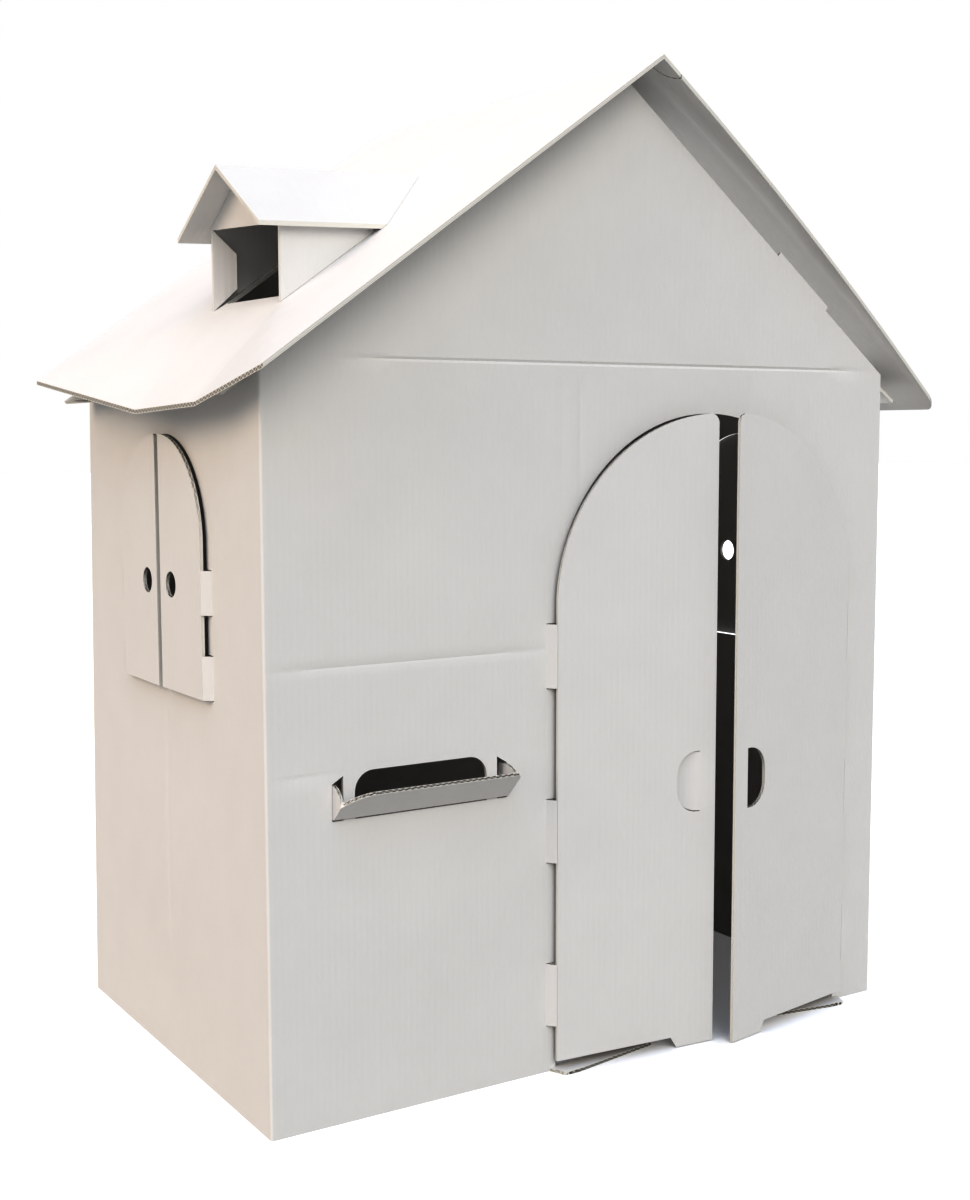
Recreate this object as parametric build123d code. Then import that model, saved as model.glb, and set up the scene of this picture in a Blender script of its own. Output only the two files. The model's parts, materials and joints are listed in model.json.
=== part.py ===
from build123d import *
import os
from math import atan, cos, degrees, radians, sin, tan

# A white cardboard playhouse, folded and slotted together from corrugated board.
# Millimetres, +Z up, +Y to the back, origin on the floor in the middle of the walls' footprint.

# Board
BOARD = 4.0                 # thickness of the corrugated board
SEAT = 0.3                  # gap between pieces that only rest on one another
GLUE_LINE = 0.1             # gap between a glued flap and its wall
KERF = 0.8                  # width of a knife cut

# Walls
LEFT_PIER = 74.5            # front wall from its left corner to the letter tray's hole
MIDDLE_PIER = 52.5          # from the tray's other hole to the door's crease
RIGHT_PIER = 50.0           # from the door's other crease to the right corner
DEPTH = 552.0               # outside, along Y
GABLE_CREASE = 800.0        # height where the gable starts
GABLE_RISE = 336.0          # from the crease to the gable's tip
SIDE_DROP = 6.0             # side walls stop this far under the gable's crease
CORNER_RADIUS = 3.0         # outside of a folded corner
GLUE_FLAP = 35.0            # width of the flap inside a glued corner
GLUE_FLAP_INSET = 25.0      # its ends stop short of the floor and the top
GABLE_TAB = 6.0             # how far the roof tab stands out of the gable's edge
GABLE_TAB_START = 96.0      # from the wall's corner, measured along X
GABLE_TAB_RUN = 78.0        # length of the tab along X
BACK_LEAN = 2.4             # degrees by which the back wall leans in towards the front

# Flaps folded out along the tops of the side walls
EAVE_FLAP = 44.0
EAVE_FLAP_FALL = 35.0       # degrees below the horizontal
EAVE_FLAP_INSET = 12.0      # from the front and back faces

# Door
DOOR_HALF = 216.0           # width of a leaf, and radius of the arch
DOOR_SPRING = 534.0         # height where the arch starts
DOOR_BOTTOM = 14.0          # lower edge of a leaf
DOOR_FOOT = 52.0            # width of the foot at a leaf's free edge
DOOR_FOOT_LIFT = 1.0        # foot's height over the floor
DOOR_FOOT_SLOPE = 8.0       # run of the slanted end of the foot
DOOR_CORNER = 11.0          # rounding at the top of a leaf's free edge
DOOR_SWING = 50.0           # angle of the hinge strips to the wall
DOOR_STRIPS = (55.0, 245.0, 444.0)   # lower ends of the hinge strips
DOOR_STRIP_HEIGHT = 72.0
LEFT_DOOR_AJAR = 4.5
RIGHT_DOOR_AJAR = 10.0

# D-shaped pulls in the door leaves
PULL_HEIGHT = 72.0
PULL_WIDTH = 32.0
PULL_ROUND = 27.0
PULL_EDGE = 22.0            # from the free edge to the straight side
PULL_CENTRE = 320.0
PULL_TAB_TURN = 14.0        # how far the left pull's tab is pushed in, in degrees

# Strips of the threshold, bent out flat on the floor at each jamb
TONGUE = 20.0               # reach in front of the wall
TONGUE_SQUARE = 23.0        # length that keeps the full reach
TONGUE_LENGTH = 138.0
TONGUE_END = 10.0           # width of the far end
TONGUE_ROOT = 8.0           # overlap with the foot of the jamb

# Windows in the side walls
WINDOW_CENTRE = 14.0        # in front of the wall's middle
WINDOW_HALF = 118.0
WINDOW_SPRING = 610.0
WINDOW_SILL = 442.0
WINDOW_SWING = 45.0
WINDOW_STRIPS = (442.0, 534.0)
WINDOW_STRIP_HEIGHT = 48.0
SHUTTER_CORNER = 4.0
FINGER_HOLE = 29.0
FINGER_HOLE_EDGE = 32.0     # from the free edge to the hole's centre
FINGER_HOLE_HEIGHT = 561.0
FRONT_SHUTTER_AJAR = 0.4
REAR_SHUTTER_AJAR = 0.8

# Hinge strips of the door leaves and shutters
STRIP = 13.0                # width of a strip between its two creases
MEETING_GAP = 1.0           # between the two free edges of a pair

# Letter slot and its tray
SLOT_WIDTH = 162.0
SLOT_BOTTOM = 327.0
SLOT_HEIGHT = 50.0
SLOT_CORNER = 22.0
SLOT_BRIDGE = 13.5          # strip of wall between the slot and a side hole
SIDE_HOLE = 13.0
SIDE_HOLE_INNER = 47.0      # height of a side hole beside the bridge
SIDE_HOLE_OUTER = 39.0
TRAY_LIFT = 2.0             # tray's lower edge over the bottom of the slot
TRAY_PANEL = 40.0           # panel measured up its slope
TRAY_LEAN = 45.0            # degrees from the wall
TRAY_SHORT_END = 22.0       # panel's height at its left fold
TRAY_SWEEP = 38.0           # run of the curve from there up to the full height
TRAY_ROUND = 6.0            # rounding of its right corner
TRAY_TAIL = 14.0            # reach of the gussets behind the panel's foot

# Roof sheet, which sits a little askew on the gables
RIDGE_LIFT = 2.0            # ridge over the gable blank's tip
END_OVERHANG = 28.0         # roof's length beyond the walls' feet, both ends together
EAVE_OVERHANG = 64.0        # along the slope, beyond the side walls
ROOF_SHIFT_X = 20.0
ROOF_SHIFT_Y = -31.5
ROOF_YAW = 4.05
LEFT_SPREAD = 3.6           # degrees by which the left slope lies flatter than the gable
RIGHT_BOW = 10.0            # rise of the right slope's middle over its straight line
ROOF_CORNER = 15.0
RIDGE_SLIT = 26.0           # radius of the quarter-round slit at each end of the ridge
RIDGE_SLIT_WIDTH = 1.6
SAG_FRONT = 33.0            # droop of the left eave below the dormer's front corner
SAG_REAR = 39.0
SAG_FRONT_AT = 145.0        # from the roof's front edge
SAG_REAR_AT = 292.0

# Dormer, placed from the roof's left eave and front edge
DORMER_SETBACK = 102.0      # dormer's front in plan from the left eave
DORMER_NEAR = 149.0         # near cheek from the roof's front edge
DORMER_WIDTH = 157.0
DORMER_RISE = 149.0         # dormer's ridge over its sill, at the front
DORMER_ROOF_NEAR = 138.0    # near eave from the roof's front edge
DORMER_ROOF_HALF = 95.0
DORMER_PITCH = 35.5
DORMER_TILT = 2.6           # degrees by which the dormer's ridge climbs to the back
DORMER_OVERHANG = 30.0
DORMER_HEAD = 3.0           # board left over the window's upper corners
DORMER_HOLE_FRAME = 12.0    # rim of roof left inside the dormer's walls and roof
JAMB_FLAP = 26.0
JAMB_FLAP_TURN = 60.0       # degrees that the flap is turned in from the window
JAMB_FLAP_BEVEL = 26.0      # drop of the flap's slanted upper end
JAMB_FLAP_TOE = 9.0         # rise of its slanted lower end

# Places that follow from the sizes above
DOORWAY = 2 * (DOOR_HALF + STRIP)
TRAY_WIDTH = SLOT_WIDTH + 2 * (SLOT_BRIDGE + SIDE_HOLE)
WIDTH = LEFT_PIER + TRAY_WIDTH + MIDDLE_PIER + DOORWAY + RIGHT_PIER
LEFT, RIGHT = -WIDTH / 2, WIDTH / 2
DOOR_CENTRE = RIGHT - RIGHT_PIER - DOORWAY / 2
SLOT_CENTRE = LEFT + LEFT_PIER + TRAY_WIDTH / 2
FRONT, BACK = -DEPTH / 2, DEPTH / 2
UP = (0, 0, 1)
DOWN = (0, 0, -1)
SIDE_HEIGHT = GABLE_CREASE - SIDE_DROP
GABLE_PITCH = degrees(atan(GABLE_RISE / RIGHT))
RIGHT_PITCH = GABLE_PITCH
LEFT_PITCH = GABLE_PITCH - LEFT_SPREAD
RIDGE_HEIGHT = GABLE_CREASE + GABLE_RISE + RIDGE_LIFT
ROOF_LENGTH = DEPTH + END_OVERHANG
ROOF_SLOPE = RIGHT / cos(radians(GABLE_PITCH)) + EAVE_OVERHANG
LEFT_FALL = tan(radians(LEFT_PITCH))
RIGHT_FALL = tan(radians(RIGHT_PITCH))
LEFT_DROP = BOARD / cos(radians(LEFT_PITCH))
RIGHT_DROP = BOARD / cos(radians(RIGHT_PITCH))
LEFT_EAVE = -ROOF_SLOPE * cos(radians(LEFT_PITCH))
RIGHT_EAVE = ROOF_SLOPE * cos(radians(RIGHT_PITCH))
ROOF_FRONT = -ROOF_LENGTH / 2
ROOF_PLACE = Location((ROOF_SHIFT_X, ROOF_SHIFT_Y, 0), (0, 0, ROOF_YAW))
DORMER_FRONT = -LEFT_EAVE - DORMER_SETBACK
DORMER_SILL = RIDGE_HEIGHT - DORMER_FRONT * LEFT_FALL
DORMER_RIDGE = DORMER_SILL + DORMER_RISE
DORMER_DROP = BOARD / cos(radians(DORMER_PITCH))
DORMER_RIDGE_LINE = ROOF_FRONT + DORMER_ROOF_NEAR + DORMER_ROOF_HALF

# Each wall's own frame: x to the right seen from outside, y up, z out of the wall
LEAN = radians(BACK_LEAN)
FRONT_WALL = Plane((0, FRONT, 0), x_dir=(1, 0, 0), z_dir=(0, -1, 0))
BACK_WALL = Plane((0, BACK, 0), x_dir=(-1, 0, 0), z_dir=(0, cos(LEAN), sin(LEAN)))
LEFT_WALL = Plane((LEFT, 0, 0), x_dir=(0, -1, 0), z_dir=(-1, 0, 0))
RIGHT_WALL = Plane((RIGHT, 0, 0), x_dir=(0, 1, 0), z_dir=(1, 0, 0))


def polygon(points):
    """A flat face through the given points, in 2D or 3D."""
    return make_face(Polyline(*points, close=True))


def rectangle(x0, x1, y0, y1):
    """A rectangle between two pairs of coordinates."""
    return polygon([(x0, y0), (x1, y0), (x1, y1), (x0, y1)])


def sheet(plane, outline):
    """Board cut to an outline drawn on a wall's outside face."""
    return extrude(plane * outline, amount=-BOARD)


def standing_strip(plane, section, low, high):
    """A vertical bar whose section is drawn as (along the wall, out of the wall)."""
    corners = [plane.from_local_coords((along, low, out)) for along, out in section]
    return extrude(polygon([tuple(corner) for corner in corners]), amount=high - low, dir=UP)


def arch(centre, half, bottom, spring):
    """A doorway or window outline: straight sides under a half circle."""
    round_top = Pos(centre, spring) * Circle(half)
    return rectangle(centre - half, centre + half, bottom, spring) + round_top


def hinge_axis(centre, half, swing, side):
    """Where a leaf's crease stands: along the wall and out of it."""
    reach = half + STRIP * (1 - cos(radians(swing)))
    return centre + side * reach, STRIP * sin(radians(swing))


def hinged_opening(centre, half, bottom, spring, strips, strip_height):
    """An arched opening, notched where its hinge strips were cut free."""
    outline = arch(centre, half, bottom, spring)
    for low in strips:
        reach = half + STRIP
        outline += rectangle(centre - reach, centre + reach, low - KERF, low + strip_height + KERF)
    return outline


def hinge_strips(plane, centre, half, swing, side, strips, strip_height):
    """The short strips that swing a leaf out of its wall."""
    angle = radians(swing)
    crease = centre + side * (half + STRIP)
    axis, out = hinge_axis(centre, half, swing, side)
    section = [
        (crease, 0),
        (axis, out),
        (axis, out - BOARD / cos(angle)),
        (crease - side * BOARD * sin(angle), -BOARD * cos(angle)),
        (crease, -BOARD),
    ]
    return [standing_strip(plane, section, low, low + strip_height) for low in strips]


def beyond(plane, depth):
    """All space outside a wall, from a depth behind its outer face."""
    return extrude(plane.offset(-depth) * rectangle(-WIDTH, WIDTH, -WIDTH, 2 * WIDTH), amount=WIDTH)


def turned(plane, along, angle, out=0.0):
    """A wall's frame moved to an upright crease and turned about it, its right side swinging out."""
    turn = radians(angle)
    across = plane.x_dir * cos(turn) + plane.z_dir * sin(turn)
    normal = plane.z_dir * cos(turn) - plane.x_dir * sin(turn)
    return Plane(plane.from_local_coords((along, 0, out)), x_dir=across, z_dir=normal)


def leaf_frame(plane, centre, half, swing, side, ajar):
    """A leaf's own frame: its origin is on the crease, and it is turned ajar."""
    along, out = hinge_axis(centre, half, swing, side)
    return turned(plane, along, -side * ajar, out)


def hung_leaf(leaf_plane, outline, side):
    """A leaf drawn from its crease at x = 0 to its free edge, and mirrored if it hangs on the right."""
    if side > 0:
        outline = mirror(outline, about=Plane.YZ)
    return sheet(leaf_plane, outline)


def leaf_outline(half, bottom, spring, corner):
    """Half of an arch from its crease to the meeting line, with the top free corner rounded."""
    free_edge = half - MEETING_GAP / 2
    blank = rectangle(SEAT, free_edge, bottom, spring + half)
    leaf = blank & arch(half, half, bottom, spring)
    tip = leaf.vertices().filter_by_position(Axis.X, free_edge - SEAT, free_edge + SEAT).sort_by(Axis.Y)[-1]
    return fillet(tip, corner)


def pull_outline(straight, inset):
    """The D of a door pull left of its straight side, with its curved sides moved in by an inset."""
    half = PULL_HEIGHT / 2 - inset
    pull = rectangle(straight - PULL_WIDTH + inset, straight, PULL_CENTRE - half, PULL_CENTRE + half)
    return fillet(pull.vertices().sort_by(Axis.X)[:2], PULL_ROUND - inset)


def door_leaf(side, ajar, keeps_tab):
    """A door leaf with its foot and its D-shaped pull, whose tab may still hang in it, pushed in."""
    free_edge = DOOR_HALF - MEETING_GAP / 2
    leaf = leaf_outline(DOOR_HALF, DOOR_BOTTOM, DOOR_SPRING, DOOR_CORNER)
    leaf += polygon([
        (free_edge, DOOR_BOTTOM),
        (free_edge, DOOR_FOOT_LIFT),
        (free_edge - DOOR_FOOT, DOOR_FOOT_LIFT),
        (free_edge - DOOR_FOOT - DOOR_FOOT_SLOPE, DOOR_BOTTOM),
    ])
    straight = free_edge - PULL_EDGE
    leaf_plane = leaf_frame(FRONT_WALL, DOOR_CENTRE, DOOR_HALF, DOOR_SWING, side, ajar)
    board = hung_leaf(leaf_plane, leaf - pull_outline(straight, 0), side)
    if keeps_tab:
        tab_plane = turned(leaf_plane, -side * straight, -side * PULL_TAB_TURN)
        board += hung_leaf(tab_plane, pull_outline(0, KERF), side)
    return board


def window_offset(plane):
    """The window's centre in a side wall's own frame."""
    return -WINDOW_CENTRE * plane.x_dir.Y


def shutter(plane, side, ajar):
    """A window shutter with its finger hole."""
    leaf = leaf_outline(WINDOW_HALF, WINDOW_SILL, WINDOW_SPRING, SHUTTER_CORNER)
    hole = Pos(WINDOW_HALF - FINGER_HOLE_EDGE, FINGER_HOLE_HEIGHT) * Circle(FINGER_HOLE / 2)
    leaf_plane = leaf_frame(plane, window_offset(plane), WINDOW_HALF, WINDOW_SWING, side, ajar)
    return hung_leaf(leaf_plane, leaf - hole, side)


def gable_outline():
    """An end wall with its gable, and the tab on the gable's right edge."""
    fall = GABLE_RISE / RIGHT
    slope = radians(GABLE_PITCH)
    tab_low = RIGHT - GABLE_TAB_START
    tab_high = tab_low - GABLE_TAB_RUN
    out, up = GABLE_TAB * sin(slope), GABLE_TAB * cos(slope)
    tip = GABLE_CREASE + GABLE_RISE
    return polygon([
        (LEFT, 0),
        (RIGHT, 0),
        (RIGHT, GABLE_CREASE),
        (tab_low, tip - fall * tab_low),
        (tab_low + out, tip - fall * tab_low + up),
        (tab_high + out, tip - fall * tab_high + up),
        (tab_high, tip - fall * tab_high),
        (0, tip),
        (LEFT, GABLE_CREASE),
    ])


def side_wall(plane):
    """A side wall with its window, hinge strips and the flap folded out along its top."""
    centre = window_offset(plane)
    outline = rectangle(-DEPTH / 2, DEPTH / 2, 0, SIDE_HEIGHT)
    outline -= hinged_opening(
        centre, WINDOW_HALF, WINDOW_SILL, WINDOW_SPRING, WINDOW_STRIPS, WINDOW_STRIP_HEIGHT
    )
    wall = sheet(plane, outline)
    for side in (-1, 1):
        for strip in hinge_strips(
            plane, centre, WINDOW_HALF, WINDOW_SWING, side, WINDOW_STRIPS, WINDOW_STRIP_HEIGHT
        ):
            wall += strip
    return wall + eave_flap(plane)


def eave_flap(plane):
    """The flap folded out and down along the top of a side wall."""
    fall = radians(EAVE_FLAP_FALL)
    run, drop = EAVE_FLAP * cos(fall), EAVE_FLAP * sin(fall)
    back, under = BOARD * sin(fall), BOARD * cos(fall)
    end = -DEPTH / 2
    section = [
        (end, SIDE_HEIGHT, 0),
        (end, SIDE_HEIGHT - drop, run),
        (end, SIDE_HEIGHT - drop - under, run - back),
        (end, SIDE_HEIGHT - under, -back),
    ]
    corners = [tuple(plane.from_local_coords(point)) for point in section]
    flap = extrude(polygon(corners), amount=DEPTH, dir=plane.x_dir)
    return flap - beyond(FRONT_WALL, EAVE_FLAP_INSET) - beyond(BACK_WALL, EAVE_FLAP_INSET)


def glue_flap(far_plane):
    """The flap that a side wall's free end turns behind the far end wall."""
    outline = rectangle(
        RIGHT - BOARD - GLUE_FLAP, RIGHT, GLUE_FLAP_INSET, SIDE_HEIGHT - GLUE_FLAP_INSET
    )
    return sheet(far_plane.offset(-BOARD - GLUE_LINE), outline)


def folded_sheet(end_plane, side_plane, far_plane, end_cuts):
    """An end wall and the side wall folded from it, with the fold rounded on the outside."""
    end_wall = sheet(end_plane, gable_outline() - end_cuts)
    side = side_wall(side_plane) - beyond(end_plane, 0) - beyond(far_plane, BOARD + GLUE_LINE)
    walls = end_wall + side + glue_flap(far_plane)
    fold = [
        edge for edge in walls.edges()
        if all(
            abs(plane.to_local_coords(end.center()).Z) < GLUE_LINE
            for plane in (end_plane, side_plane) for end in edge.vertices()
        )
    ]
    return fillet(fold, CORNER_RADIUS) - above_roof()


def letter_openings():
    """The letter slot and the two slanted holes beside it."""
    low, half = SLOT_BOTTOM, SLOT_WIDTH / 2
    slot = rectangle(SLOT_CENTRE - half, SLOT_CENTRE + half, low, low + SLOT_HEIGHT)
    slot = fillet(slot.vertices().sort_by(Axis.Y)[2:], SLOT_CORNER)
    for side in (-1, 1):
        inner = SLOT_CENTRE + side * (half + SLOT_BRIDGE)
        outer = inner + side * SIDE_HOLE
        slot += polygon([
            (inner, low),
            (outer, low),
            (outer, low + SIDE_HOLE_OUTER),
            (inner, low + SIDE_HOLE_INNER),
        ])
    return slot


def threshold_tongue(side):
    """What is left of the threshold at one jamb, lying flat on the floor."""
    jamb = DOOR_CENTRE + side * DOOR_HALF
    root = jamb + side * TONGUE_ROOT
    square = jamb - side * TONGUE_SQUARE
    far = jamb - side * TONGUE_LENGTH
    outline = polygon([
        (root, FRONT + BOARD),
        (root, FRONT),
        (jamb, FRONT - TONGUE),
        (square, FRONT - TONGUE),
        (far, FRONT),
        (far, FRONT + TONGUE_END),
        (jamb, FRONT + BOARD),
    ])
    return extrude(outline, amount=BOARD)


def front_left_sheet():
    """Front wall with the doorway and letter slot, folded into the left wall."""
    cuts = hinged_opening(DOOR_CENTRE, DOOR_HALF, 0, DOOR_SPRING, DOOR_STRIPS, DOOR_STRIP_HEIGHT)
    walls = folded_sheet(FRONT_WALL, LEFT_WALL, BACK_WALL, cuts + letter_openings())
    for side in (-1, 1):
        walls += threshold_tongue(side)
        for strip in hinge_strips(
            FRONT_WALL, DOOR_CENTRE, DOOR_HALF, DOOR_SWING, side, DOOR_STRIPS, DOOR_STRIP_HEIGHT
        ):
            walls += strip
    return walls


def back_right_sheet():
    """Plain back wall folded into the right wall."""
    return folded_sheet(BACK_WALL, RIGHT_WALL, FRONT_WALL, Sketch())


def tray_panel(half):
    """The tray's front: full height at its right end, swept down to a short fold at its left."""
    sweep = (TRAY_SWEEP - half, TRAY_PANEL)
    fold = (-half, TRAY_SHORT_END)
    rim = Polyline(fold, (-half, 0), (half, 0), (half, TRAY_PANEL), sweep)
    panel = make_face(rim + TangentArc(sweep, fold, tangent=(-1, 0)))
    return fillet(panel.vertices().sort_by(Axis.X)[-2:].sort_by(Axis.Y)[-1], TRAY_ROUND)


def tray_gusset(fold_length, wall):
    """A gusset as (behind the foot, up): from the panel's fold it curves up to the wall's hole."""
    lean = radians(TRAY_LEAN)
    top = SIDE_HOLE_OUTER - TRAY_LIFT - KERF
    middle = (fold_length + top) / 2
    fold = (-fold_length * sin(lean), fold_length * cos(lean))
    crown = (-middle * sin(lean / 2), middle * cos(lean / 2))
    rim = Polyline((wall, top), (TRAY_TAIL, top), (TRAY_TAIL, 0), (0, 0), fold)
    return make_face(rim + ThreePointArc(fold, crown, (wall, top)))


def letter_tray():
    """The letter tray: a leaning panel with a gusset folded back through the wall at each end."""
    lean = radians(TRAY_LEAN)
    half = TRAY_WIDTH / 2 - SEAT
    low = SLOT_BOTTOM + TRAY_LIFT
    foot = FRONT - SEAT - BOARD * cos(lean)
    panel_plane = Plane((SLOT_CENTRE, foot, low), x_dir=(1, 0, 0), z_dir=(0, -cos(lean), -sin(lean)))
    tray = sheet(panel_plane, tray_panel(half))
    for left_face, fold_length in (
        (SLOT_CENTRE - half, TRAY_SHORT_END),
        (SLOT_CENTRE + half - BOARD, TRAY_PANEL - TRAY_ROUND),
    ):
        gusset_plane = Plane((left_face, foot, low), x_dir=(0, 1, 0), z_dir=(1, 0, 0))
        tray += extrude(gusset_plane * tray_gusset(fold_length, FRONT - foot), amount=BOARD)
    return tray


def slope_point(x, y, sag=0.0):
    """A point of the roof's upper surface in the roof's own frame, which may droop below its slope."""
    fall = LEFT_FALL if x < 0 else RIGHT_FALL
    return (x, y, RIDGE_HEIGHT - abs(x) * fall - sag)


def left_facets():
    """The left slope's flat facets as upper outlines: the slope, then the drooping eave under the dormer."""
    front, back = ROOF_FRONT, -ROOF_FRONT
    near = front + DORMER_NEAR
    ridge_front, ridge_back = slope_point(0, front), slope_point(0, back)
    eave_front, eave_back = slope_point(LEFT_EAVE, front), slope_point(LEFT_EAVE, back)
    sill_near = slope_point(-DORMER_FRONT, near)
    sill_far = slope_point(-DORMER_FRONT, near + DORMER_WIDTH)
    sag_front = slope_point(LEFT_EAVE, front + SAG_FRONT_AT, SAG_FRONT)
    sag_rear = slope_point(LEFT_EAVE, front + SAG_REAR_AT, SAG_REAR)
    return [
        [ridge_front, ridge_back, eave_back, sill_far, sill_near, eave_front],
        [eave_front, sill_near, sag_front],
        [sag_front, sill_near, sag_rear],
        [sag_rear, sill_near, sill_far],
        [sag_rear, sill_far, eave_back],
    ]


def right_slope(low, high, half_length):
    """A slab that follows the bowed right slope from the ridge to the eave, between two rises over it."""
    pitch = radians(RIGHT_PITCH)
    middle = RIGHT_EAVE / 2

    def bowed(rise):
        ridge, eave = RIDGE_HEIGHT + rise, RIDGE_HEIGHT - RIGHT_EAVE * RIGHT_FALL + rise
        crown = (middle + RIGHT_BOW * sin(pitch), (ridge + eave) / 2 + RIGHT_BOW * cos(pitch))
        return (0, ridge), crown, (RIGHT_EAVE, eave)

    under, over = bowed(low), bowed(high)
    rim = ThreePointArc(*under) + Line(under[2], over[2]) + ThreePointArc(*over) + Line(over[0], under[0])
    return extrude(Plane.XZ * make_face(rim), amount=half_length, both=True)


def shifted(points, rise):
    """The same outline, moved up or down."""
    return [(x, y, z + rise) for x, y, z in points]


def wide_left_slope():
    """The left slope's upper surface, carried on far beyond the roof."""
    corners = [(0, -WIDTH), (0, WIDTH), (-WIDTH, WIDTH), (-WIDTH, -WIDTH)]
    return [slope_point(x, y) for x, y in corners]


def dormer_surface(x, y):
    """Height of the dormer roof's upper surface at a place in plan."""
    climb = (x + DORMER_FRONT) * tan(radians(DORMER_TILT))
    return DORMER_RIDGE + climb - abs(y - DORMER_RIDGE_LINE) * tan(radians(DORMER_PITCH))


def dormer_hole():
    """The hole under the dormer in plan: it keeps a rim inside the dormer's walls and its roof."""
    front = DORMER_HOLE_FRAME - DORMER_FRONT
    near = ROOF_FRONT + DORMER_NEAR + DORMER_HOLE_FRAME
    far = near + DORMER_WIDTH - 2 * DORMER_HOLE_FRAME

    def back(y):
        underside = dormer_surface(-DORMER_FRONT, y) - DORMER_DROP
        return (underside - RIDGE_HEIGHT) / LEFT_FALL - DORMER_HOLE_FRAME

    return polygon([
        (front, near),
        (front, far),
        (back(far), far),
        (back(DORMER_RIDGE_LINE), DORMER_RIDGE_LINE),
        (back(near), near),
    ])


def roof_sheet():
    """One sheet folded at the ridge, with the dormer's hole and a round slit beside each ridge end."""
    roof = right_slope(-RIGHT_DROP, 0, -ROOF_FRONT)
    for facet in left_facets():
        roof += extrude(polygon(facet), amount=LEFT_DROP, dir=DOWN)
    outline = rectangle(-ROOF_SLOPE, RIGHT_EAVE, ROOF_FRONT, -ROOF_FRONT)
    outline = fillet(outline.vertices().sort_by(Axis.X)[2:], ROOF_CORNER)
    outline -= dormer_hole()
    ring = Circle(RIDGE_SLIT) - Circle(RIDGE_SLIT - RIDGE_SLIT_WIDTH)
    for end in (ROOF_FRONT, -ROOF_FRONT):
        outline -= (Pos(0, end) * ring) & rectangle(0, RIGHT_EAVE, -ROOF_LENGTH, ROOF_LENGTH)
    return ROOF_PLACE * (roof & extrude(outline, amount=2 * RIDGE_HEIGHT))


def wide_sag():
    """The drooping facets; those that end at the eave are carried on past it, away from the dormer's sill."""
    facets = []
    for first, sill, last in left_facets()[1:]:
        if first[0] == last[0]:
            first, last = (tuple(Vector(sill) + (Vector(end) - Vector(sill)) * 2) for end in (first, last))
        facets.append([first, sill, last])
    return facets


def above_roof():
    """All space above the roof's underside, less the seat: nothing of the walls reaches into it."""
    space = right_slope(-RIGHT_DROP - SEAT, WIDTH, WIDTH)
    for facet in [wide_left_slope()] + wide_sag():
        space += extrude(polygon(shifted(facet, -LEFT_DROP - SEAT)), amount=WIDTH, dir=UP)
    return ROOF_PLACE * space


def below_slope():
    """All space under the left slope's upper surface, with a seat's gap on top."""
    return extrude(polygon(shifted(wide_left_slope(), SEAT)), amount=WIDTH, dir=DOWN)


def dormer_roof_slopes(rise, front, back):
    """Upper outlines of the dormer roof's two slopes between two places along X, moved up by rise."""
    near = DORMER_RIDGE_LINE - DORMER_ROOF_HALF
    far = DORMER_RIDGE_LINE + DORMER_ROOF_HALF
    slopes = []
    for eave in (near, far):
        plan = [(front, DORMER_RIDGE_LINE), (back, DORMER_RIDGE_LINE), (back, eave), (front, eave)]
        slopes.append([(x, y, dormer_surface(x, y) + rise) for x, y in plan])
    return slopes


def dormer_roof():
    """The dormer's folded roof, its back cut to lie on the slope."""
    roof = Part()
    for slope in dormer_roof_slopes(0, -DORMER_FRONT - DORMER_OVERHANG, 0):
        roof += extrude(polygon(slope), amount=DORMER_DROP, dir=DOWN)
    return ROOF_PLACE * (roof - below_slope())


def dormer_walls():
    """The dormer's gable, two cheeks and the flap folded in at the far jamb."""
    front, near = -DORMER_FRONT, ROOF_FRONT + DORMER_NEAR
    far = near + DORMER_WIDTH
    top = RIDGE_HEIGHT
    head = DORMER_DROP + SEAT + DORMER_HEAD
    window_top = [(y, dormer_surface(front, y) - head) for y in (near, far)]
    gable = polygon(window_top + [(far, top), (near, top)])
    walls = extrude(Plane((front, 0, 0), x_dir=(0, 1, 0), z_dir=(1, 0, 0)) * gable, amount=BOARD)
    cheek = rectangle(front, 0, SIDE_HEIGHT, top)
    for side in (near, far - BOARD):
        cheek_plane = Plane((0, side, 0), x_dir=(1, 0, 0), z_dir=(0, -1, 0))
        walls += extrude(cheek_plane * cheek, amount=-BOARD)
    turn = radians(JAMB_FLAP_TURN)
    low, high = DORMER_SILL, window_top[1][1]
    flap_plane = Plane(
        (front, far - BOARD, 0), x_dir=(sin(turn), -cos(turn), 0), z_dir=(-cos(turn), -sin(turn), 0)
    )
    flap = polygon([
        (0, low),
        (0, high),
        (JAMB_FLAP, high - JAMB_FLAP_BEVEL),
        (JAMB_FLAP, low + JAMB_FLAP * sin(turn) * LEFT_FALL + JAMB_FLAP_TOE),
    ])
    walls += extrude(flap_plane * flap, amount=-BOARD)
    for slope in dormer_roof_slopes(-DORMER_DROP - SEAT, -WIDTH, WIDTH):
        walls -= extrude(polygon(slope), amount=WIDTH, dir=UP)
    return ROOF_PLACE * (walls - below_slope())


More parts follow.
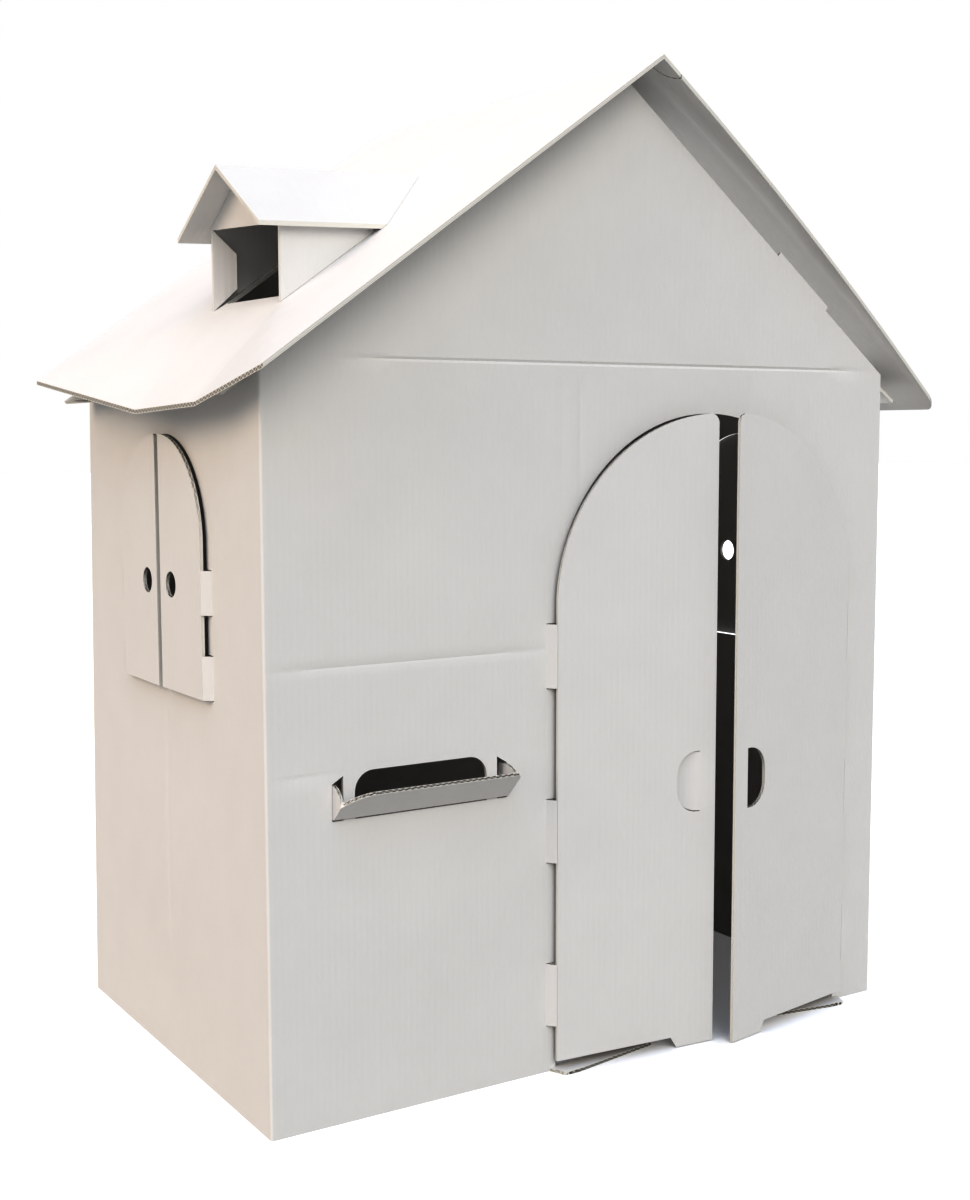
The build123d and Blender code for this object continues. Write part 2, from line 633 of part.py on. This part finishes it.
def main():
    os.makedirs("parts", exist_ok=True)
    pieces = {
        "front_left_wall_sheet": front_left_sheet(),
        "back_right_wall_sheet": back_right_sheet(),
        "roof_sheet": roof_sheet(),
        "dormer_walls": dormer_walls(),
        "dormer_roof": dormer_roof(),
        "letter_tray": letter_tray(),
        "left_door_leaf": door_leaf(-1, LEFT_DOOR_AJAR, keeps_tab=True),
        "right_door_leaf": door_leaf(1, RIGHT_DOOR_AJAR, keeps_tab=False),
        "left_window_front_shutter": shutter(LEFT_WALL, 1, FRONT_SHUTTER_AJAR),
        "left_window_rear_shutter": shutter(LEFT_WALL, -1, REAR_SHUTTER_AJAR),
        "right_window_front_shutter": shutter(RIGHT_WALL, -1, FRONT_SHUTTER_AJAR),
        "right_window_rear_shutter": shutter(RIGHT_WALL, 1, REAR_SHUTTER_AJAR),
    }
    for name, piece in pieces.items():
        piece.label = name
        export_step(piece, f"parts/{name}.step")


main()
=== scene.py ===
import json
import math
from typing import NamedTuple

import bmesh
import bpy
from bpy.props import FloatProperty, FloatVectorProperty, PointerProperty
from bpy.types import Operator, Panel, PropertyGroup
from mathutils import Matrix, Vector

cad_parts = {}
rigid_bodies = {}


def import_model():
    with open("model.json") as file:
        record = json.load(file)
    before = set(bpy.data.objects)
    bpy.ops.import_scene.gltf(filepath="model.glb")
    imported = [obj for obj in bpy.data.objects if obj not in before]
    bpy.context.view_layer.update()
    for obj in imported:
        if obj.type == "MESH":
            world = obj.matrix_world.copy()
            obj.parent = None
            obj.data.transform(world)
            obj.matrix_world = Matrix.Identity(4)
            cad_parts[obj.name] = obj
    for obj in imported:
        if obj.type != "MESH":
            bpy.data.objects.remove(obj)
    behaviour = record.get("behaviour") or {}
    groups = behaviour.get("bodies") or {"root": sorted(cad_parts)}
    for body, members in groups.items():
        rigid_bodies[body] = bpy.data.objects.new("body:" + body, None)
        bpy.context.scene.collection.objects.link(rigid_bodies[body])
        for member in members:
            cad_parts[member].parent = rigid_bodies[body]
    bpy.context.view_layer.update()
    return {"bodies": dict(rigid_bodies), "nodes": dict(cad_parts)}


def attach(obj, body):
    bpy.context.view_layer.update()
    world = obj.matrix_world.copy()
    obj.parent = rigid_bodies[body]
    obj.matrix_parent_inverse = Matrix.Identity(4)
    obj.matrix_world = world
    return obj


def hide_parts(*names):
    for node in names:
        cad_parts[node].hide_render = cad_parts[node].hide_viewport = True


bl_info = {
    "name": "Cardboard Playhouse",
    "version": (1, 0, 0),
    "blender": (4, 5, 0),
    "location": "3D View > Sidebar > Playhouse",
    "description": "Dresses a folded cardboard playhouse: liners, fluted cut edges, creases and warp",
    "category": "Object",
}

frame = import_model()
MM = 0.001
X, Y, Z = Vector((1, 0, 0)), Vector((0, 1, 0)), Vector((0, 0, 1))
HOUSE = "house"
FRONT_SHEET, BACK_SHEET = "front_left_wall_sheet", "back_right_wall_sheet"
ROOF_PIECES = ("roof_sheet", "dormer_walls", "dormer_roof")
TRAY = "letter_tray"
LINER, CUT_EDGE = "white_lined_board", "corrugated_cut_edge"
FLOOR, CARD = "matt_studio_floor", "grey_bounce_card"
GLIMMER = "roof_space_light"
WHITE = (1, 1, 1, 1)
GROUND_HALF = 30             # metres from the stage's middle to its sides
PICTURE_HEIGHT = 36          # mm in the camera

FOLD = math.radians(28)      # faces that meet at less than this are one smooth sheet
FLAT = math.radians(0.2)     # faces that meet at less than this are one flat panel
NARROW = 1.4                 # a panel narrower than this many thicknesses is a cut edge
WALL_REACH = (-1.2, 0.2)     # a wall's board lies between these, in thicknesses out of its face
WELD = 0.01 * MM

LINER_ROUGHNESS, RAW_ROUGHNESS = 0.72, 0.9
LINER_SPECULAR = 0.3
CLOUD_RANGE = (0.3, 0.7)     # noise at which the liner's shade starts and is full
WASHBOARD = 0.5              # height of the washboard, in heights of the grain
LINER_RELIEF = 0.08 * MM
MIDDLE = 0.5                 # of the board's thickness
MEDIUM_SWING = 0.34          # wave of the medium about the middle, in thicknesses
MEDIUM_RANGE = (0.16, 0.08)  # distance from the medium at which its paper starts and is full
LINER_RANGE = (0.36, 0.42)   # distance from the middle at which the liners' paper starts and is full
EDGE_RELIEF = 0.6 * MM
EDGE_STRENGTH = 0.5


class Crease(NamedTuple):
    """A line pressed into a wall, in mm along the wall from its front-left corner and up from the floor."""

    upright: bool
    at: float
    start: float
    end: float
    depth: float


class Bulge(NamedTuple):
    """A soft swelling of a wall, in mm like a crease; a negative height is a hollow."""

    left: float
    right: float
    low: float
    high: float
    height: float


FRONT_CREASES = (
    Crease(upright=False, at=804, start=90, end=817, depth=1.4),     # foot of the gable
    Crease(upright=True, at=362, start=665, end=803, depth=0.5),     # over the door's left side
    Crease(upright=True, at=388, start=665, end=803, depth=0.9),
    Crease(upright=True, at=635, start=746, end=802, depth=0.5),     # over the door's top
    Crease(upright=False, at=488, start=0, end=345, depth=0.7),      # across the wall left of the door
    Crease(upright=False, at=378, start=10, end=78, depth=0.9),      # beside the letter slot
    Crease(upright=False, at=378, start=313, end=347, depth=0.9),
)
LEFT_CREASES = (
    Crease(upright=True, at=268, start=115, end=437, depth=0.7),     # under the window
)
FRONT_BULGES = (
    Bulge(left=30, right=330, low=60, high=300, height=1.6),
    Bulge(left=30, right=330, low=505, high=790, height=-1.4),
    Bulge(left=240, right=620, low=830, high=1040, height=1.8),
)
LEFT_BULGES = (
    Bulge(left=40, right=520, low=60, high=420, height=2.0),
)


class Lamp(NamedTuple):
    """A soft, distant studio lamp: the direction towards it, its strength, spread in degrees and colour."""

    name: str
    towards: tuple
    strength: float
    spread: float
    tint: str


LAMPS = (
    Lamp("top_light", (-0.30, -0.25, 0.92), 0.6, 50, "#88BCFF"),      # cools the roof's left slope
    Lamp("side_light", (-0.90, 0.06, 0.42), 1.5, 40, "#FFE8D0"),      # warms the left wall
    Lamp("front_light", (-0.12, -0.85, 0.51), 1.48, 45, "#FFFCF7"),   # models the front
    Lamp("back_light", (0.60, 0.72, 0.36), 1.0, 45, "#FFFFFF"),       # fills the sides in shade
)


def linear(hex_colour):
    """An sRGB hex colour as linear RGBA."""
    channels = [int(hex_colour[i:i + 2], 16) / 255 for i in (1, 3, 5)]
    return [c / 12.92 if c <= 0.04045 else ((c + 0.055) / 1.055) ** 2.4 for c in channels] + [1.0]


class PlayhouseBoard(PropertyGroup):
    """Sizes and colours of the corrugated board."""

    liner: FloatVectorProperty(
        name="Liner", description="White paper on both faces", subtype="COLOR",
        size=4, min=0, max=1, default=linear("#E3E2E0"),
    )
    shade: FloatVectorProperty(
        name="Liner shade", description="Where the fibres lie denser", subtype="COLOR",
        size=4, min=0, max=1, default=linear("#E1E0DE"),
    )
    paper: FloatVectorProperty(
        name="Cut paper", description="Raw paper on a cut edge", subtype="COLOR",
        size=4, min=0, max=1, default=linear("#E4E2DB"),
    )
    # Painted shade: a dark colour that stands in for the shade inside the open flutes of a cut edge.
    flute_shade: FloatVectorProperty(
        name="Hollow", description="Between the flutes on a cut edge", subtype="COLOR",
        size=4, min=0, max=1, default=linear("#4C483F"),
    )
    thickness: FloatProperty(
        name="Thickness", description="Thickness of the board", unit="LENGTH", default=4.0 * MM,
    )
    flute: FloatProperty(
        name="Flute pitch", description="Crest to crest of the flutes", unit="LENGTH", default=7.5 * MM,
    )
    mottle: FloatProperty(
        name="Mottle", description="Size of the liner's cloudy patches", unit="LENGTH", default=70.0 * MM,
    )
    fibre: FloatProperty(
        name="Fibre", description="Size of the liner's fibre grain", unit="LENGTH", default=1.6 * MM,
    )
    grid: FloatProperty(
        name="Grid", description="Spacing of the bent mesh", unit="LENGTH", default=24.0 * MM,
    )
    crease_bank: FloatProperty(
        name="Crease bank", description="Half the width of a crease", unit="LENGTH", default=2.6 * MM,
    )
    crease_fade: FloatProperty(
        name="Crease fade", description="Length over which a crease runs out", unit="LENGTH",
        default=26.0 * MM,
    )


class PlayhouseStage(PropertyGroup):
    """Camera, floor and lights."""

    camera: FloatVectorProperty(
        name="Camera", description="Camera position", subtype="TRANSLATION", unit="LENGTH",
        default=(-1.0756, -1.7407, 0.7239),
    )
    yaw: FloatProperty(
        name="Yaw", description="Turn to the right", unit="ROTATION", default=math.radians(31.91),
    )
    pitch: FloatProperty(
        name="Pitch", description="Tilt down", unit="ROTATION", default=math.radians(5.83),
    )
    roll: FloatProperty(
        name="Roll", description="Roll of the picture", unit="ROTATION", default=math.radians(-0.15),
    )
    lens: FloatProperty(
        name="Lens", description="Focal length on a 36 mm tall picture", unit="CAMERA", default=48.02,
    )
    floor: FloatVectorProperty(
        name="Floor", description="Pale matt floor", subtype="COLOR",
        size=4, min=0, max=1, default=linear("#FDFDFD"),
    )
    glimmer: FloatProperty(
        name="Roof space light", description="Power of the light in the roof space", unit="POWER",
        default=0.13,
    )
    glimmer_place: FloatVectorProperty(
        name="Roof space place", description="Middle of the light in the roof space", subtype="TRANSLATION",
        unit="LENGTH", default=(0.245, -0.235, 0.880),
    )
    glimmer_slope: FloatVectorProperty(
        name="Roof space slope", description="Direction of its long side, down the right slope",
        subtype="DIRECTION", default=(0.785, 0, -0.62),
    )
    glimmer_size: FloatVectorProperty(
        name="Roof space size", description="Its long and short sides", size=2, unit="LENGTH",
        default=(0.54, 0.04),
    )
    gamma: FloatProperty(
        name="Gamma", description="Deepens the picture's shadows, like the photograph's", subtype="FACTOR",
        default=0.6,
    )
    glow: FloatProperty(
        name="Floor glow", description="Lifts the floor to plain white", subtype="FACTOR", default=0.12,
    )
    bounce: FloatVectorProperty(
        name="Bounce", description="Grey of the card that throws light up", subtype="COLOR",
        size=4, min=0, max=1, default=linear("#C4C3C1"),
    )
    sky: FloatProperty(
        name="Sky", description="Strength of the even light from all round", subtype="FACTOR", default=0.66,
    )


def node(tree, kind, links=None, values=None, **settings):
    """Adds a shader node with its settings and socket values, and links given outputs to its inputs."""
    made = tree.nodes.new(kind)
    for key, value in settings.items():
        setattr(made, key, value)
    for key, value in (values or {}).items():
        made.inputs[key].default_value = value
    for key, output in (links or {}).items():
        tree.links.new(output, made.inputs[key])
    return made


def blank_material(name, roughness):
    """A new material with its node tree and shader."""
    material = bpy.data.materials.new(name)
    material.use_nodes = True
    shader = material.node_tree.nodes["Principled BSDF"]
    shader.inputs["Roughness"].default_value = roughness
    return material.node_tree, shader


def flute_wave(tree, board):
    """The flutes as a sine from the distance across them, which each face corner carries."""
    across = node(tree, "ShaderNodeAttribute", attribute_name="across")
    turns = node(
        tree, "ShaderNodeMath", {0: across.outputs["Fac"]}, {1: math.tau / board.flute},
        operation="MULTIPLY",
    )
    return node(tree, "ShaderNodeMath", {0: turns.outputs[0]}, operation="SINE").outputs[0]


def liner_material(board):
    """White-lined kraft paper.

    A clean matt white, very slightly cloudy, with the flutes' washboard just telling through. The fibre
    grain is drawn at 1.6 mm, coarser than the real 0.3 mm, which a picture of a whole house can't hold.
    """
    tree, shader = blank_material(LINER, LINER_ROUGHNESS)
    shader.inputs["Specular IOR Level"].default_value = LINER_SPECULAR
    place = node(tree, "ShaderNodeTexCoord").outputs["Object"]
    cloud = node(
        tree, "ShaderNodeTexNoise", {"Vector": place}, {"Scale": 1 / board.mottle, "Detail": 3.0}
    )
    tone = node(
        tree, "ShaderNodeMapRange", {"Value": cloud.outputs[0]},
        {"From Min": CLOUD_RANGE[0], "From Max": CLOUD_RANGE[1]},
    )
    colour = node(
        tree, "ShaderNodeMix", {0: tone.outputs[0]}, {6: board.liner, 7: board.shade}, data_type="RGBA"
    )
    tree.links.new(colour.outputs[2], shader.inputs["Base Color"])
    grain = node(
        tree, "ShaderNodeTexNoise", {"Vector": place}, {"Scale": 1 / board.fibre, "Detail": 2.0}
    )
    relief = node(
        tree, "ShaderNodeMath", {0: flute_wave(tree, board), 2: grain.outputs[0]}, {1: WASHBOARD},
        operation="MULTIPLY_ADD",
    )
    bump = node(
        tree, "ShaderNodeBump", {"Height": relief.outputs[0]}, {"Strength": 1.0, "Distance": LINER_RELIEF}
    )
    tree.links.new(bump.outputs[0], shader.inputs["Normal"])


def edge_material(board):
    """Cut edge of corrugated board.

    Pale raw paper: the two liners as rims, the wave of the medium between them, and painted shade in the
    hollows where the cut opens the flutes. A depth from 0 to 1 runs across each cut face.
    """
    tree, shader = blank_material(CUT_EDGE, RAW_ROUGHNESS)
    depth = node(tree, "ShaderNodeAttribute", attribute_name="depth").outputs["Fac"]
    medium = node(
        tree, "ShaderNodeMath", {0: flute_wave(tree, board)}, {1: MEDIUM_SWING, 2: MIDDLE},
        operation="MULTIPLY_ADD",
    )
    from_medium = node(tree, "ShaderNodeMath", {0: depth, 1: medium.outputs[0]}, operation="SUBTRACT")
    from_middle = node(tree, "ShaderNodeMath", {0: depth}, {1: MIDDLE}, operation="SUBTRACT")
    medium_gap = node(tree, "ShaderNodeMath", {0: from_medium.outputs[0]}, operation="ABSOLUTE")
    liner_gap = node(tree, "ShaderNodeMath", {0: from_middle.outputs[0]}, operation="ABSOLUTE")
    on_medium = node(
        tree, "ShaderNodeMapRange", {"Value": medium_gap.outputs[0]},
        {"From Min": MEDIUM_RANGE[0], "From Max": MEDIUM_RANGE[1]},
    )
    on_liner = node(
        tree, "ShaderNodeMapRange", {"Value": liner_gap.outputs[0]},
        {"From Min": LINER_RANGE[0], "From Max": LINER_RANGE[1]},
    )
    solid = node(
        tree, "ShaderNodeMath", {0: on_medium.outputs[0], 1: on_liner.outputs[0]}, operation="MAXIMUM"
    )
    # Painted shade: where there is no paper, the edge darkens to the flute shade colour, scaled by how far
    # the cut opens the flutes.
    opened = node(tree, "ShaderNodeAttribute", attribute_name="opened").outputs["Fac"]
    gap = node(tree, "ShaderNodeMath", {1: solid.outputs[0]}, {0: 1.0}, operation="SUBTRACT")
    flute_shade_mask = node(tree, "ShaderNodeMath", {0: gap.outputs[0], 1: opened}, operation="MULTIPLY")
    colour = node(
        tree, "ShaderNodeMix", {0: flute_shade_mask.outputs[0]}, {6: board.paper, 7: board.flute_shade}, data_type="RGBA"
    )
    tree.links.new(colour.outputs[2], shader.inputs["Base Color"])
    bump = node(
        tree, "ShaderNodeBump", {"Height": solid.outputs[0]},
        {"Strength": EDGE_STRENGTH, "Distance": EDGE_RELIEF},
    )
    tree.links.new(bump.outputs[0], shader.inputs["Normal"])


def turn_of(edge):
    """The angle between an edge's two faces."""
    return edge.calc_face_angle(math.pi) if len(edge.link_faces) == 2 else math.pi


def gathered(faces, turn):
    """Faces gathered into groups, each with a label, where they meet at less than a turn."""
    faces = dict.fromkeys(faces)
    group = {}
    for label, seed in enumerate(faces):
        queue = [] if seed in group else [seed]
        while queue:
            face = queue.pop()
            group[face] = label
            for edge in face.edges:
                if turn_of(edge) < turn:
                    beside = [other for other in edge.link_faces if other in faces]
                    queue += [other for other in beside if other not in group]
    return group


def mark_cut_edges(mesh, thickness):
    """Gives narrow panels the edge material, and runs a depth from 0 to 1 across them."""
    depth = mesh.verts.layers.float.new("depth")
    panel, sheet = gathered(mesh.faces, FLAT), gathered(mesh.faces, FOLD)
    size, border, area = {}, {}, {}
    for face in mesh.faces:
        rim = sum(edge.calc_length() for edge in face.edges if turn_of(edge) >= FOLD)
        border[panel[face]] = border.get(panel[face], 0) + rim
        size[panel[face]] = size.get(panel[face], 0) + face.calc_area()
        area[sheet[face]] = area.get(sheet[face], 0) + face.calc_area()
    narrow = {label for label in size if 2 * size[label] < NARROW * thickness * border[label]}
    cuts = dict.fromkeys(face for face in mesh.faces if panel[face] in narrow)
    strip = gathered(cuts, FOLD)
    sides = {}
    for face in cuts:
        face.material_index = 1
        for edge in face.edges:
            for other in edge.link_faces:
                if other not in cuts and turn_of(edge) >= FOLD:
                    rims = sides.setdefault(strip[face], {})
                    rims.setdefault(sheet[other], set()).update(edge.verts)
    for rims in sides.values():
        for far_side in sorted(rims, key=area.get, reverse=True)[1:2]:
            for vert in rims[far_side]:
                vert[depth] = 1.0


def mark_flutes(mesh):
    """Gives face corners their distance across the flutes, and how far a cut opens the flutes' ends.

    The flutes run up the walls and down the slopes, so a cut along them shows plain paper.
    """
    across = mesh.loops.layers.float.new("across")
    opened = mesh.loops.layers.float.new("opened")
    for face in mesh.faces:
        beside = [other for edge in face.edges for other in edge.link_faces if other.material_index == 0]
        sheet = beside[0] if face.material_index == 1 and beside else face
        direction = Z.cross(sheet.normal)
        if direction.length < FLAT:
            direction = X
        direction = direction.normalized()
        ends = abs(face.normal.dot(direction.cross(sheet.normal)))
        for loop in face.loops:
            loop[across] = loop.vert.co.dot(direction)
            loop[opened] = ends


def cut(mesh, axis, where):
    """Cuts a mesh by a plane across an axis."""
    geometry = mesh.verts[:] + mesh.edges[:] + mesh.faces[:]
    bmesh.ops.bisect_plane(mesh, geom=geometry, plane_co=axis * where, plane_no=axis, dist=WELD)


def dressed(name, axes, board):
    """A mesh for one sheet, made from its solid: flat panels, marked edges, and a grid across the axes."""
    mesh = bmesh.new()
    mesh.from_mesh(frame["nodes"][name].data)
    bmesh.ops.remove_doubles(mesh, verts=mesh.verts, dist=WELD)
    bmesh.ops.dissolve_limit(mesh, angle_limit=FLAT, verts=mesh.verts, edges=mesh.edges)
    mark_cut_edges(mesh, board.thickness)
    for axis in axes:
        reach = [vert.co.dot(axis) for vert in mesh.verts]
        low, length = min(reach), max(reach) - min(reach)
        count = max(1, round(length / board.grid))
        for i in range(1, count):
            cut(mesh, axis, low + length * i / count)
    mark_flutes(mesh)
    return mesh


def crease_height(crease, along, up, board):
    """How far a crease presses the board in at a place on its wall."""
    across, run = (along, up) if crease.upright else (up, along)
    bank = 1 - abs(across - crease.at * MM) / board.crease_bank
    fade = min(run - crease.start * MM, crease.end * MM - run) / board.crease_fade
    return -crease.depth * MM * max(0, bank) * max(0, min(1, fade))


def bulge_height(bulge, along, up):
    """How far a bulge swells the board at a place on its wall."""
    side = (along / MM - bulge.left) / (bulge.right - bulge.left)
    rise = (up / MM - bulge.low) / (bulge.high - bulge.low)
    if not (0 < side < 1 and 0 < rise < 1):
        return 0.0
    return bulge.height * MM * (math.sin(math.pi * side) * math.sin(math.pi * rise)) ** 2


def press_wall(mesh, corner, across, out, creases, bulges, board):
    """Presses creases and bulges into one wall of a folded sheet, through its whole thickness."""
    for crease in creases:
        axis = across if crease.upright else Z
        for bank in (-board.crease_bank, 0, board.crease_bank):
            cut(mesh, axis, corner.dot(axis) + crease.at * MM + bank)
    for vert in mesh.verts:
        place = vert.co - corner
        if WALL_REACH[0] < place.dot(out) / board.thickness < WALL_REACH[1]:
            along, up = place.dot(across), place.z
            height = sum(crease_height(crease, along, up, board) for crease in creases)
            height += sum(bulge_height(bulge, along, up) for bulge in bulges)
            vert.co += out * height


def front_left_corner():
    """The walls' front-left foot, from the back-right one: the footprint's middle is the origin."""
    feet = [vert.co for vert in frame["nodes"][BACK_SHEET].data.vertices if vert.co.z < MM]
    return Vector((-max(foot.x for foot in feet), -max(foot.y for foot in feet), 0))


def finish_piece(mesh, node_name, body):
    """Turns a worked mesh into a piece with the board's materials that stands for its node."""
    name = node_name + "_board"
    data = bpy.data.meshes.new(name)
    for edge in mesh.edges:
        edge.smooth = turn_of(edge) < FOLD
    for face in mesh.faces:
        face.smooth = True
    mesh.to_mesh(data)
    mesh.free()
    for material in (LINER, CUT_EDGE):
        data.materials.append(bpy.data.materials[material])
    piece = bpy.data.objects.new(name, data)
    bpy.context.collection.objects.link(piece)
    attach(piece, body)
    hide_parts(node_name)


def ground(name, colour, height, glow):
    """A wide matt plane that belongs to the stage, and may glow a little."""
    shader = blank_material(name, RAW_ROUGHNESS)[1]
    shader.inputs["Base Color"].default_value = colour
    shader.inputs["Emission Color"].default_value = WHITE
    shader.inputs["Emission Strength"].default_value = glow
    mesh = bmesh.new()
    bmesh.ops.create_grid(mesh, size=GROUND_HALF, matrix=Matrix.Translation((0, 0, height)))
    data = bpy.data.meshes.new(name)
    mesh.to_mesh(data)
    mesh.free()
    data.materials.append(bpy.data.materials[name])
    plane = bpy.data.objects.new(name, data)
    bpy.context.collection.objects.link(plane)
    return plane


def studio_world(stage):
    """A world that is plain white in the picture, and gives the house a softer, even light."""
    world = bpy.data.worlds.new("studio")
    world.use_nodes = True
    tree = world.node_tree
    seen = node(tree, "ShaderNodeLightPath").outputs["Is Camera Ray"]
    strength = node(tree, "ShaderNodeMapRange", {"Value": seen}, {"To Min": stage.sky, "To Max": 1.0})
    sky = tree.nodes["Background"].inputs
    sky["Color"].default_value = WHITE
    tree.links.new(strength.outputs[0], sky["Strength"])
    return world


def distant_light(lamp):
    """A soft sun that shines from a lamp's direction."""
    data = bpy.data.lights.new(lamp.name, "SUN")
    data.energy = lamp.strength
    data.angle = math.radians(lamp.spread)
    data.color = linear(lamp.tint)[:3]
    light = bpy.data.objects.new(lamp.name, data)
    light.rotation_euler = Vector(lamp.towards).to_track_quat("Z", "Y").to_euler()
    return light


def roof_space_light(stage):
    """Light that gets into the roof space through the house's gaps, and shows under the right slope."""
    data = bpy.data.lights.new(GLIMMER, "AREA")
    data.shape = "RECTANGLE"
    data.size, data.size_y = stage.glimmer_size
    data.energy = stage.glimmer
    light = bpy.data.objects.new(GLIMMER, data)
    slope = Vector(stage.glimmer_slope).normalized()
    upward = Matrix((slope, -Y, Y.cross(slope))).transposed().to_4x4()
    light.matrix_world = Matrix.Translation(stage.glimmer_place) @ upward
    light.visible_camera = False
    return light


def studio_camera(stage):
    """The camera at the photograph's viewing angle."""
    lens = bpy.data.cameras.new("camera")
    lens.sensor_fit = "VERTICAL"
    lens.sensor_height = PICTURE_HEIGHT
    lens.lens = stage.lens
    camera = bpy.data.objects.new("camera", lens)
    turn = Matrix.Rotation(-stage.yaw, 4, "Z") @ Matrix.Rotation(math.pi / 2 - stage.pitch, 4, "X")
    camera.matrix_world = Matrix.Translation(stage.camera) @ turn @ Matrix.Rotation(stage.roll, 4, "Z")
    return camera


class PLAYHOUSE_OT_board(Operator):
    """Makes the board's liner and cut-edge materials"""

    bl_idname = "playhouse.board"
    bl_label = "Board"

    def execute(self, context):
        board = context.scene.playhouse_board
        liner_material(board)
        edge_material(board)
        return {"FINISHED"}


class PLAYHOUSE_OT_walls(Operator):
    """Dresses the two folded wall sheets, and creases the front and left walls"""

    bl_idname = "playhouse.walls"
    bl_label = "Walls"

    def execute(self, context):
        board = context.scene.playhouse_board
        corner = front_left_corner()
        front = dressed(FRONT_SHEET, (X, Y, Z), board)
        press_wall(front, corner, X, -Y, FRONT_CREASES, FRONT_BULGES, board)
        press_wall(front, corner, Y, -X, LEFT_CREASES, LEFT_BULGES, board)
        finish_piece(front, FRONT_SHEET, HOUSE)
        finish_piece(dressed(BACK_SHEET, (X, Y, Z), board), BACK_SHEET, HOUSE)
        return {"FINISHED"}


class PLAYHOUSE_OT_roof(Operator):
    """Dresses the roof sheet and the dormer"""

    bl_idname = "playhouse.roof"
    bl_label = "Roof"

    def execute(self, context):
        for name in ROOF_PIECES:
            finish_piece(dressed(name, (X, Y), context.scene.playhouse_board), name, HOUSE)
        return {"FINISHED"}


class PLAYHOUSE_OT_leaves(Operator):
    """Dresses the door leaves and the shutters"""

    bl_idname = "playhouse.leaves"
    bl_label = "Leaves"

    def execute(self, context):
        for body in frame["bodies"]:
            if body != HOUSE:
                finish_piece(dressed(body, (X, Y, Z), context.scene.playhouse_board), body, body)
        return {"FINISHED"}


class PLAYHOUSE_OT_tray(Operator):
    """Dresses the letter tray"""

    bl_idname = "playhouse.tray"
    bl_label = "Letter Tray"

    def execute(self, context):
        finish_piece(dressed(TRAY, (X,), context.scene.playhouse_board), TRAY, HOUSE)
        return {"FINISHED"}


class PLAYHOUSE_OT_stage(Operator):
    """Adds the floor, the light and the camera"""

    bl_idname = "playhouse.stage"
    bl_label = "Stage"

    def execute(self, context):
        scene, stage = context.scene, context.scene.playhouse_stage
        # The floor is plain white to the eye, and a greyer card just under it throws the light back up.
        ground(FLOOR, stage.floor, 0, stage.glow).visible_diffuse = False
        ground(CARD, stage.bounce, -MM, 0).visible_camera = False
        camera = studio_camera(stage)
        for item in [distant_light(lamp) for lamp in LAMPS] + [roof_space_light(stage), camera]:
            context.collection.objects.link(item)
        scene.camera = camera
        scene.world = studio_world(stage)
        scene.view_settings.view_transform = "Standard"
        scene.view_settings.gamma = stage.gamma
        return {"FINISHED"}


class PLAYHOUSE_PT_panel(Panel):
    """Lists the playhouse's settings and steps"""

    bl_idname = "PLAYHOUSE_PT_panel"
    bl_label = "Cardboard Playhouse"
    bl_space_type = "VIEW_3D"
    bl_region_type = "UI"
    bl_category = "Playhouse"

    def draw(self, context):
        for settings in (context.scene.playhouse_board, context.scene.playhouse_stage):
            for key in settings.__annotations__:
                self.layout.prop(settings, key)
        for step in STEPS:
            self.layout.operator(step.bl_idname)


STEPS = (
    PLAYHOUSE_OT_board,
    PLAYHOUSE_OT_walls,
    PLAYHOUSE_OT_roof,
    PLAYHOUSE_OT_leaves,
    PLAYHOUSE_OT_tray,
    PLAYHOUSE_OT_stage,
)
CLASSES = (PlayhouseBoard, PlayhouseStage) + STEPS + (PLAYHOUSE_PT_panel,)


def register():
    for cls in CLASSES:
        bpy.utils.register_class(cls)
    bpy.types.Scene.playhouse_board = PointerProperty(type=PlayhouseBoard)
    bpy.types.Scene.playhouse_stage = PointerProperty(type=PlayhouseStage)


def unregister():
    del bpy.types.Scene.playhouse_stage
    del bpy.types.Scene.playhouse_board
    for cls in reversed(CLASSES):
        bpy.utils.unregister_class(cls)


def main():
    register()
    bpy.ops.playhouse.board()
    bpy.ops.playhouse.walls()
    bpy.ops.playhouse.roof()
    bpy.ops.playhouse.leaves()
    bpy.ops.playhouse.tray()
    bpy.ops.playhouse.stage()


if __name__ == "__main__":
    main()
